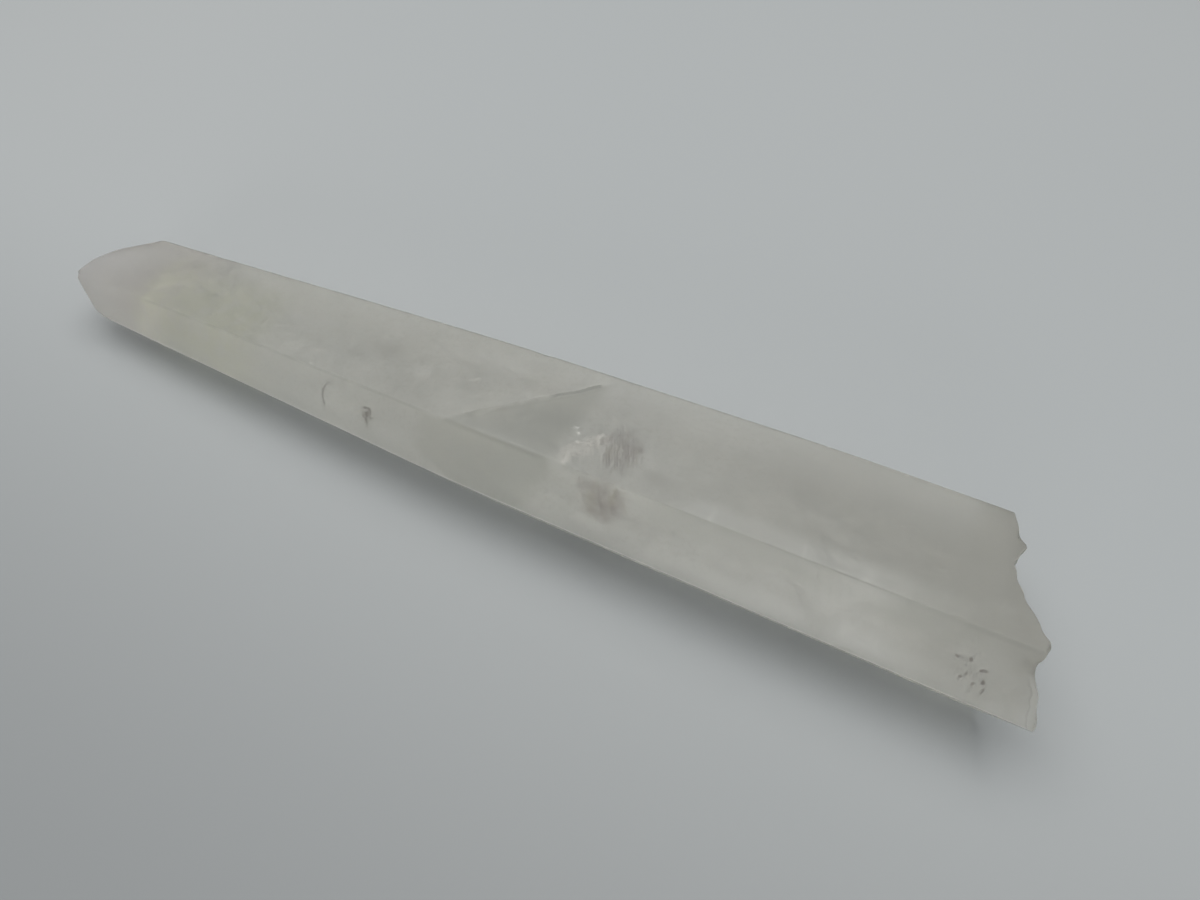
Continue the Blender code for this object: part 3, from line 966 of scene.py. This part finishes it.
def quartz():
    n = Nodes("quartz_crystal_surface")
    s = n.shader
    s.inputs["IOR"].default_value = 1.544
    s.inputs["Transmission Weight"].default_value = 0.92
    s.inputs["Metallic"].default_value = 0.0

    x = n.along((0, 0, 0), (1, 0, 0))
    # distances below the top face, in from the ridge over the top face, and up from the lower edge
    under_top = n.maths("MINIMUM", n.along((0, 0, 15.1), (0.065, 0, -1)), n.along((0, 0, 15.1), (0.029, 0, -1)))
    low_front = n.maths("MAXIMUM", n.along((0, 0, 7.6), (-0.032, 0, 1)), n.along((0, 0, 7.6), (-0.0147, 0, 1)))
    front = n.span(under_top, 0.35, 0.9)
    from_ridge = n.maths("MINIMUM", n.along((0, -3.9, 0), (0.0227, 1, 0)), n.along((0, -3.9, 0), (0.058, 1, 0)))
    wander = n.noise(330.0, 3.0, 0.5)

    # general cloudiness, then painted shade towards the foot and over the point
    cloud = n.noise(85.0, 4.0, 0.55, 0.4, (0.6, 1.0, 1.0))
    mottle = n.noise(420.0, 3.0, 0.6)
    fine = n.noise(1700.0, 3.0, 0.65)
    colour = n.mix(n.span(cloud, 0.32, 0.70), (0.87, 0.86, 0.815), (0.92, 0.91, 0.87))
    colour = n.mix(n.times(n.span(mottle, 0.42, 0.62), 0.7), colour, (0.83, 0.82, 0.775))
    colour = n.mix(n.times(n.span(fine, 0.50, 0.68), 0.7), colour, (0.78, 0.77, 0.72))
    # painted shade: darker towards the foot, and darker still on the top face there, standing in for less light at
    # that end
    colour = n.mix(n.span(x, 24.0, 78.0, 0.0, 0.8), colour, (0.735, 0.72, 0.675))
    colour = n.mix(n.times(n.span(x, 24.0, 56.0), n.maths("SUBTRACT", 1.0, front), 0.6), colour, (0.635, 0.625, 0.58))
    colour = n.mix(n.times(n.span(x, -34.0, -4.0, 0.4, 0.0), n.span(x, -66.0, -52.0)), colour, (0.985, 0.98, 0.945))
    # painted shade: darker over the point, toning down the light that comes through it
    colour = n.mix(n.span(x, -64.0, -46.0, 0.95, 0.0), colour, (0.755, 0.725, 0.705))
    # the soft places of ZONES: clouds in the quartz, and in places painted light and shade
    zone = n.mask("shade")
    colour = n.mix(n.times(n.span(zone, 0.0, 1.0), 0.75), colour, (0.97, 0.965, 0.935))
    colour = n.mix(n.times(n.span(zone, -1.0, 0.0, 1.0, 0.0), 0.85), colour, (0.68, 0.665, 0.62))

    # faint yellow-green tint behind the point
    tint = n.times(n.band(x, -60.0, -42.0, 5.0, 8.0), n.span(n.along((0, 3.5, 0), (0.08, 1, 0)), -2.0, 5.0, 1.0, 0.0))
    colour = n.mix(n.times(tint, n.span(wander, 0.3, 0.6, 0.35, 0.7)), colour, (0.87, 0.87, 0.71))

    # the clear wedge past the growth step, darker and smoother
    v = n.along((*STEP_FROM, 0), (*STEP_AWAY, 0))
    u = n.along((*STEP_FROM, 0), (*STEP_ALONG, 0))
    v = n.maths("ADD", v, n.span(wander, 0.3, 0.7, -0.12, 0.12))
    on_top_side = n.times(n.span(v, 0.0, 0.5), n.span(n.along((15.4, -2, 0), (1, -0.12, 0)), -1.8, 1.4, 1.0, 0.0))
    low = n.maths("POWER", n.maths("MAXIMUM", n.along((0, 0, 11.5), (0, 0, -1)), 0.0), 2.0)
    left = n.maths("SUBTRACT", n.along((-5.4, 0, 0), (1, 0, 0)), n.times(low, 0.35))
    on_front_side = n.times(
        n.span(n.maths("ADD", left, n.span(wander, 0.3, 0.7, -1.0, 1.0)), -1.4, 1.8),
        n.span(n.along((13.6, 0, 9.0), (1, 0, -0.5)), -2.2, 1.8, 1.0, 0.0),
    )
    wedge = n.maths(
        "ADD", n.times(on_front_side, front), n.times(on_top_side, n.maths("SUBTRACT", 1.0, front)), clamp=True
    )
    wedge = n.times(wedge, n.span(cloud, 0.25, 0.75, 0.75, 1.0))
    colour = n.mix(n.times(wedge, 0.9), colour, (0.745, 0.745, 0.69))
    # painted shade: the top side of the wedge darker than its front
    colour = n.mix(n.times(wedge, n.maths("SUBTRACT", 1.0, front), 0.7), colour, (0.66, 0.66, 0.61))
    # painted shade and painted light either side of the ridge in the wedge, evening out the dark band the worn ridge
    # bends the light into
    colour = n.mix(n.times(wedge, n.band(from_ridge, 0.5, 1.1, 0.5, 0.7), 0.1), colour, (0.62, 0.62, 0.57))
    colour = n.mix(n.times(wedge, n.band(from_ridge, -0.5, -0.1, 0.3, 0.3), 0.1), colour, (0.92, 0.92, 0.86))

    # the step itself: painted shade on its riser, a fine dark line, sharpest at its far end
    top_only = n.span(under_top, 0.5, 1.0, 1.0, 0.0)
    line = n.times(n.band(v, 0.08, 0.36, 0.14, 0.25), n.band(u, 17.4, 23.2, 1.6, 0.6), top_only)
    faint = n.times(n.band(v, 0.1, 0.5, 0.2, 0.9), n.band(u, 5.0, 23.4, 3.5, 0.8), top_only)
    colour = n.mix(n.times(faint, n.span(wander, 0.3, 0.65, 0.3, 0.75)), colour, (0.52, 0.52, 0.47))
    colour = n.mix(n.times(line, 0.8), colour, (0.30, 0.30, 0.27))

    # light caught above the ridge towards the foot, with a darker strip under it
    glow = n.times(n.band(x, 38.0, 58.0, 7.0, 16.0), n.band(from_ridge, 0.1, 1.4, 0.2, 2.6), top_only)
    colour = n.mix(n.times(glow, n.span(cloud, 0.3, 0.7, 0.6, 1.0)), colour, (1.0, 0.995, 0.96))
    under_ridge = n.along((0, -3.9, 15.1), (0.0138, -0.5, -0.866))
    shadow = n.times(n.band(x, 34.0, 64.0, 7.0, 12.0), n.band(under_ridge, 0.15, 2.0, 0.2, 2.8))
    colour = n.mix(n.times(shadow, 0.7), colour, (0.68, 0.68, 0.63))
    # the ridge: painted shade, a thin dark line along the edge on the half towards the point
    ridge = n.times(
        n.band(from_ridge, -0.10, 0.06, 0.12),
        n.span(under_top, 0.5, 0.9, 1.0, 0.0),
        n.band(x, -58.0, -6.5, 5.0, 3.0),
        n.span(wander, 0.3, 0.6, 0.3, 1.0),
    )
    colour = n.mix(n.times(ridge, 0.28), colour, (0.52, 0.52, 0.47))

    # soft brown stains either side of the ridge
    for centre, along, across, a, b in (
        (on_top(23.4, 1.3), (1.35, -2.84, 0.04), (4.79, 2.22, 0.14), 3.8, 2.9),
        (on_front(23.7, 2.85), (1.0, -2.02, -3.43), (6.97, 0.1, 0.25), 3.0, 3.8),
    ):
        p = n.times(n.along(centre, unit(along)), 1 / a)
        q = n.times(n.along(centre, unit(across)), 1 / b)
        off = n.times(n.along(centre, unit(np.cross(unit(across), unit(along)))), 1 / 1.2)
        r = n.maths("ADD", n.maths("ADD", n.times(p, p), n.times(q, q)), n.times(off, off))
        r = n.maths("ADD", r, n.span(wander, 0.3, 0.7, -0.25, 0.25))
        stain = n.times(n.span(r, 0.0, 1.3, 1.0, 0.0), n.span(mottle, 0.38, 0.62, 0.25, 0.6))
        colour = n.mix(stain, colour, (0.60, 0.545, 0.505))

    # painted light: lighter towards the lower edge of the front face, with a painted highlight on the edge itself
    lower = n.times(front, n.span(low_front, 0.0, 3.6, 1.0, 0.0))
    colour = n.mix(n.times(lower, n.maths("SUBTRACT", 1.0, wedge), 0.5), colour, (0.98, 0.97, 0.93))
    off_front = n.maths(
        "MAXIMUM",
        n.along((0, -3.9, 15.1), (-0.0342, -0.866, 0.5)),
        n.along((0, -3.9, 15.1), (-0.0827, -0.866, 0.5)),
    )
    edge = n.times(front, n.band(low_front, -0.22, 0.12, 0.12), n.span(off_front, -1.1, -0.5))
    colour = n.mix(n.times(edge, 0.8), colour, (1.0, 0.99, 0.96))
    # a thin flake split from the foot end of the front face: a dark line and a paler strip
    split = n.maths("ADD", n.along((78.7, 0, 12.23), (1, 0, 0.352)), n.span(wander, 0.3, 0.7, -0.35, 0.35))
    near_split = n.times(n.span(n.along((0, -7.6, 0), (0, -1, 0)), -0.4, 0.6), front)
    colour = n.mix(n.times(n.span(split, 0.0, 0.2), near_split, 0.5), colour, (0.95, 0.94, 0.90))
    colour = n.mix(n.times(n.band(split, -0.10, 0.03, 0.1), near_split, 0.35), colour, (0.45, 0.44, 0.40))
    # painted shade: a thin dark line along the back edge of the top
    back = n.times(n.band(n.along((0, 13.15, 0), (-0.003, 1, 0)), -0.26, 0.3, 0.14), n.span(wander, 0.25, 0.6, 0.6, 1.0))
    back = n.times(back, n.span(under_top, 0.6, 1.2, 1.0, 0.0), n.span(x, 69.0, 71.0, 1.0, 0.0))
    colour = n.mix(n.times(back, 0.6), colour, (0.45, 0.45, 0.41))
    n.link(colour, s.inputs["Base Color"])

    rough = n.span(n.noise(260.0, 4.0, 0.6), 0.3, 0.7, 0.34, 0.48)
    rough = n.maths("SUBTRACT", rough, n.times(wedge, 0.04))
    rough = n.maths("ADD", rough, n.span(x, 58.0, 70.0, 0.0, 0.16))
    rough = n.maths("ADD", rough, n.span(x, -62.0, -50.0, 0.14, 0.0))
    n.link(rough, s.inputs["Roughness"])
    grain = n.noise(2600.0, 4.0, 0.6)
    lines = n.noise(900.0, 3.0, 0.6, 0.0, (1.0, 0.06, 0.06))
    height = n.maths("ADD", n.maths("MULTIPLY", grain, 0.5), n.maths("MULTIPLY", lines, 0.5))
    bump = n.add("ShaderNodeBump")
    bump.inputs["Strength"].default_value = 0.25
    bump.inputs["Distance"].default_value = 0.00006
    n.link(height, bump.inputs["Height"])
    n.link(bump.outputs[0], s.inputs["Normal"])
    absorb = n.add("ShaderNodeVolumeAbsorption")
    absorb.inputs["Color"].default_value = (0.80, 0.79, 0.72, 1.0)
    absorb.inputs["Density"].default_value = 12.0
    n.link(absorb.outputs[0], n.tree.nodes["Material Output"].inputs["Volume"])
    return n.material


def plain(name, colour, rough=0.6, **more):
    n = Nodes(name)
    n.shader.inputs["Base Color"].default_value = (*colour, 1.0)
    n.shader.inputs["Roughness"].default_value = rough
    for key, value in more.items():
        n.shader.inputs[key.replace("_", " ")].default_value = value
    return n.material


def stain_material(name, light):
    """Iron stain: brown, turning olive and violet in places."""
    n = Nodes(name)
    drift = n.noise(420.0, 2.0, 0.5)
    other = n.noise(650.0, 2.0, 0.5, 0.0, (1.0, 0.3, 0.3))
    colour = n.mix(n.span(drift, 0.35, 0.6), (0.44, 0.36, 0.32), (0.60, 0.52, 0.48))
    colour = n.mix(n.times(n.span(other, 0.55, 0.66), 0.7), colour, (0.62, 0.58, 0.24))
    colour = n.mix(n.times(n.span(other, 0.34, 0.45, 1.0, 0.0), 0.6), colour, (0.50, 0.40, 0.50))
    colour = n.mix(light, (0.02, 0.015, 0.01), colour)
    n.link(colour, n.shader.inputs["Base Color"])
    n.shader.inputs["Roughness"].default_value = 0.5
    return n.material


def floor_material():
    """Pale plain table; the light falls off softly towards the front left."""
    n = Nodes("table")
    s = n.shader
    tone = n.noise(3.0, 2.0, 0.5)
    colour = n.mix(n.span(tone, 0.3, 0.7), (0.381, 0.398, 0.403), (0.401, 0.414, 0.416))
    # painted shade: the table's colour darkens towards the front left, standing in for the light falling off there
    fall = n.along((0, 0, 0), (-0.05, -1, 0))
    colour = n.mix(n.span(fall, -25.0, 90.0), colour, (0.253, 0.263, 0.267))
    n.link(colour, s.inputs["Base Color"])
    s.inputs["Roughness"].default_value = 0.7
    s.inputs["Specular IOR Level"].default_value = 0.3
    return n.material


# ============================================================================
# The model
# ============================================================================
def sealed(name, mesh, material):
    """A piece inside the crystal, part of it."""
    piece = new_piece(name, mesh)
    mesh.materials.append(material)
    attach(piece, "root")
    return piece


mesh, verts = crystal_mesh()
crystal = new_piece("crystal_surface", mesh)
for polygon in mesh.polygons:
    polygon.use_smooth = True
values = mesh.attributes.new("shade", "FLOAT", "POINT")
values.data.foreach_set("value", np.clip(shade(verts), -1, 1).astype(np.float32))
mesh.materials.append(quartz())
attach(crystal, "root")
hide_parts("quartz_crystal")

sealed("milky_haze", haze(), plain("milky_haze", (0.96, 0.95, 0.91)))
sealed("healed_crack", joined_mesh("healed_crack", healed_crack()), plain("healed_crack", (0.68, 0.67, 0.635), 0.6))
sealed("glints", joined_mesh("glints", glints()), plain("glints", (0.80, 0.80, 0.78), 0.4))
sealed("stained_crack_top", joined_mesh("stained_crack_top", stained_crack(TOP)), stain_material("stain_top", 0.24))
sealed("stained_crack_front", joined_mesh("stained_crack_front", stained_crack(FRONT)), stain_material("stain_front", 0.6))
sealed("dark_specks", joined_mesh("dark_specks", dark_specks()), plain("dark_specks", (0.19, 0.16, 0.135), 0.7))
sealed("pale_marks", joined_mesh("pale_marks", pale_marks()), plain("pale_marks", (0.66, 0.65, 0.615), 0.6))

# ============================================================================
# The floor, the light and the camera
# ============================================================================
floor_mesh = bpy.data.meshes.new("table")
half = 1.5
floor_mesh.from_pydata([(-half, -half, 0), (half, -half, 0), (half, half, 0), (-half, half, 0)], [], [(0, 1, 2, 3)])
table = new_piece("table", floor_mesh)
floor_mesh.materials.append(floor_material())

scene = bpy.context.scene
scene.view_settings.view_transform = "Standard"
scene.view_settings.look = "None"
scene.view_settings.exposure = 0.0
scene.view_settings.gamma = 1.0

world = bpy.data.worlds.new("room")
world.use_nodes = True
world.node_tree.nodes["Background"].inputs["Color"].default_value = (0.93, 0.97, 1.0, 1.0)
world.node_tree.nodes["Background"].inputs["Strength"].default_value = 0.41
scene.world = world

lamp = bpy.data.lights.new("soft_box", "AREA")
lamp.shape = "DISK"
lamp.size = 0.80
lamp.energy = 3.75
lamp.color = (1.0, 0.99, 0.97)
light = bpy.data.objects.new("soft_box", lamp)
light.location = (-0.06, 0.10, 0.62)
light.rotation_euler = (Vector((0, 0, 0)) - light.location).to_track_quat("-Z", "Y").to_euler()
scene.collection.objects.link(light)

fill = bpy.data.lights.new("fill", "AREA")
fill.shape = "DISK"
fill.size = 0.6
fill.energy = 4.6
fill_light = bpy.data.objects.new("fill", fill)
fill_light.location = (0.15, -1.0, 0.09)
fill_light.rotation_euler = (Vector((0, 0, 0)) - fill_light.location).to_track_quat("-Z", "Y").to_euler()
scene.collection.objects.link(fill_light)

camera_data = bpy.data.cameras.new("camera")
camera_data.sensor_fit = "HORIZONTAL"
camera_data.angle = math.radians(65.0)
camera_data.clip_start = 0.005
camera_data.clip_end = 20.0
camera = bpy.data.objects.new("camera", camera_data)
camera.location = ((56.02 - CENTRE[0]) * MM, (-71.81 - CENTRE[1]) * MM, 0.111)
camera.rotation_euler = (math.radians(40.0), 0.0, math.radians(26.2))
scene.collection.objects.link(camera)
scene.camera = camera
